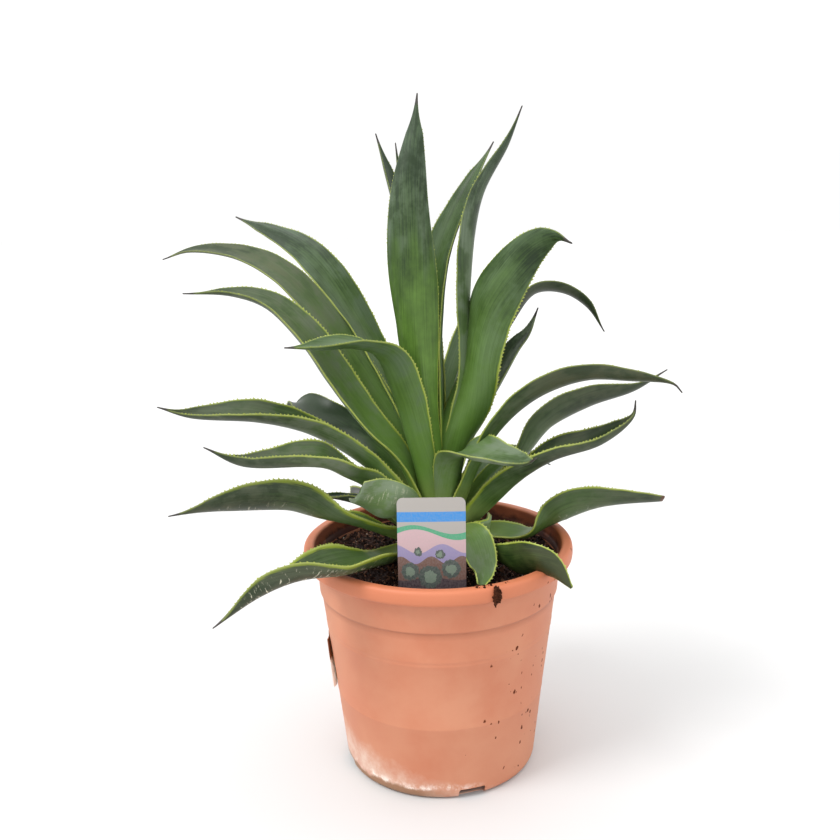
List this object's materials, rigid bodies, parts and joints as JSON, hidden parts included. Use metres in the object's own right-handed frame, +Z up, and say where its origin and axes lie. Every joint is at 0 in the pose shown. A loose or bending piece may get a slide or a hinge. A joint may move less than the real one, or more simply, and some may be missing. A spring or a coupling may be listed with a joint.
{
  "type": "potted agave",
  "caption": "Agave rosette of long arching toothed leaves in a round tapered nursery pot of terracotta-coloured plastic, with potting soil and a plant label.",
  "frame": {"origin": "centre of the pot's underside, where it stands", "axes": "+Z up along the pot's axis, -Y towards the viewer who reads the plant label, +X to that viewer's right"},
  "size_m": [0.4469, 0.3295, 0.5862],
  "materials": {
    "pot": "matte terracotta-coloured polypropylene",
    "soil": "damp dark potting soil with bark and perlite",
    "leaf": "waxy dark green leaf with yellow margins",
    "spear": "glaucous grey-green rolled leaf",
    "stem": "pale green fleshy stem",
    "label": "printed grey plastic card",
    "sticker": "blank off-white paper sticker"
  },
  "bodies": {
    "root": {"label": "label", "leaf_back_bottom_left": "leaf", "leaf_back_bottom_middle": "leaf", "leaf_back_bottom_right": "leaf", "leaf_back_left_arch": "leaf", "leaf_back_low_left": "leaf", "leaf_back_low_middle": "leaf", "leaf_back_low_right": "leaf", "leaf_back_right_arch": "leaf", "leaf_back_upright": "leaf", "leaf_behind_left": "leaf", "leaf_big_right": "leaf", "leaf_front_bent": "leaf", "leaf_front_folded": "leaf", "leaf_front_right_drooping": "leaf", "leaf_front_toothed": "leaf", "leaf_left_arch_high": "leaf", "leaf_left_arch_long": "leaf", "leaf_left_arch_low": "leaf", "leaf_left_back_dark": "leaf", "leaf_left_drooping": "leaf", "leaf_left_long": "leaf", "leaf_left_low": "leaf", "leaf_left_middle": "leaf", "leaf_left_small": "leaf", "leaf_left_torn": "leaf", "leaf_right_arch": "leaf", "leaf_right_channelled": "leaf", "leaf_right_inner": "leaf", "leaf_right_long": "leaf", "leaf_right_low": "leaf", "leaf_right_narrow": "leaf", "leaf_right_small": "leaf", "leaf_right_stub": "leaf", "leaf_right_under": "leaf", "leaf_tall_front": "leaf", "pot": "pot", "rim_soil_clump": "soil", "soil": "soil", "spear": "spear", "stem": "stem", "sticker": "sticker"}
  },
  "joints": []
}
